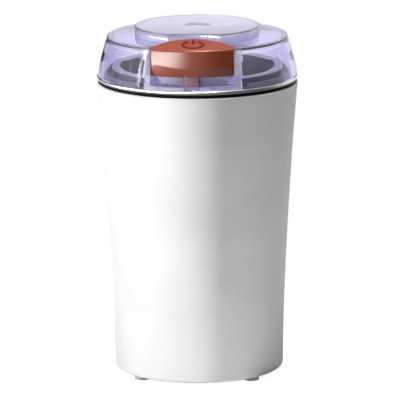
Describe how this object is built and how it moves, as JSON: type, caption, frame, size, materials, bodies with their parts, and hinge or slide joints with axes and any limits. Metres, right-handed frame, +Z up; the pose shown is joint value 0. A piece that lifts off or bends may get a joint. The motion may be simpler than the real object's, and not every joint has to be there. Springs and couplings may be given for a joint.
{
  "type": "electric spice grinder",
  "caption": "Upright electric spice grinder: flared white housing, steel ring and bowl, clear lavender lid with a press button at the front.",
  "frame": {"origin": "on the table under the middle of the body", "axes": "+Z up, -Y to the front where the button is, +X to the right seen from the front"},
  "size_m": [0.1, 0.1, 0.1752],
  "materials": {
    "white_plastic": "satin",
    "black_plastic": "satin",
    "black_rubber": "gloss",
    "trim_steel": "polished",
    "bowl_steel": "polished",
    "blade_steel": "satin",
    "clear_lavender": "transparent, polished",
    "terracotta_plastic": "satin",
    "zinc_steel": "zinc plated",
    "spring_steel": "bright wire",
    "bearing_steel": "ground",
    "lamination_steel": "stamped sheets",
    "enamelled_copper": "enamelled wire",
    "commutator_copper": "turned",
    "brass": "stamped",
    "carbon": "pressed graphite",
    "grey_acetal": "satin",
    "switch_black": "moulded",
    "lever_steel": "bright strip",
    "red_acetal": "satin",
    "white_nylon": "satin",
    "green_board": "lacquered",
    "capacitor_case": "moulded",
    "wire_insulation": "extruded"
  },
  "bodies": {
    "root": {"housing": "white_plastic", "base_plate": "white_plastic", "bowl_carrier": "black_plastic", "gasket_ring": "black_rubber", "rubber_feet": "black_rubber", "cord_grommet": "black_rubber", "shaft_seal": "black_rubber", "motor_dampers": "black_rubber", "trim_ring": "trim_steel", "bowl": "bowl_steel", "base_screws": "zinc_steel", "carrier_screws": "zinc_steel", "motor_mount_screws": "zinc_steel", "motor_bolts": "zinc_steel", "switch_screws": "zinc_steel", "upper_bracket": "zinc_steel", "lower_bracket": "zinc_steel", "rod_spring": "spring_steel", "brush_springs": "spring_steel", "upper_bearing": "bearing_steel", "lower_bearing": "bearing_steel", "stator_core": "lamination_steel", "field_coils": "enamelled_copper", "brush_holders": "brass", "carbon_brushes": "carbon", "microswitch": "switch_black", "circuit_board": "green_board", "capacitor": "capacitor_case", "lead_wires": "wire_insulation"},
    "lid": {"lid_shell": "clear_lavender", "lid_crown": "clear_lavender", "button_springs": "spring_steel"},
    "button": {"button_cap": "terracotta_plastic"},
    "rod": {"interlock_rod": "grey_acetal"},
    "lever": {"switch_lever": "lever_steel"},
    "plunger": {"switch_plunger": "red_acetal"},
    "rotor": {"motor_shaft": "blade_steel", "armature_core": "lamination_steel", "armature_winding": "enamelled_copper", "commutator": "commutator_copper", "cooling_fan": "white_nylon", "blade": "blade_steel", "blade_nut": "blade_steel"}
  },
  "joints": [
    {"name": "lid_lift", "type": "slide", "parent": "root", "child": "lid", "axis": [0, 0, 1], "range_m": [0, 0.06]},
    {"name": "button_press", "type": "slide", "parent": "lid", "child": "button", "axis": [0, 0, -1], "range_m": [0, 0.0035], "stiffness_N_per_m": 400, "springref_m": -0.002, "deforming": ["button_springs"]},
    {"name": "rod_slide", "type": "slide", "parent": "root", "child": "rod", "axis": [0, 0, -1], "range_m": [0, 0.0035], "stiffness_N_per_m": 150, "springref_m": -0.002, "deforming": ["rod_spring"]},
    {"name": "switch_lever_turn", "type": "hinge", "parent": "root", "child": "lever", "pos_m": [0.013, -0.03683, 0.09237], "axis": [0, -1, 0], "range_deg": [0, 13.6]},
    {"name": "switch_plunger_slide", "type": "slide", "parent": "root", "child": "plunger", "axis": [0, 0, -1], "range_m": [0, 0.0013]},
    {"name": "rotor_spin", "type": "hinge", "parent": "root", "child": "rotor", "pos_m": [0, 0, 0.11], "axis": [0, 0, 1], "continuous": true}
  ],
  "couplings": [
    {"joint": "rod_slide", "follows": "button_press", "ratio": 1},
    {"joint": "switch_lever_turn", "follows": "button_press", "rad_per_m": 67.32},
    {"joint": "switch_plunger_slide", "follows": "button_press", "ratio": 0.3714}
  ]
}
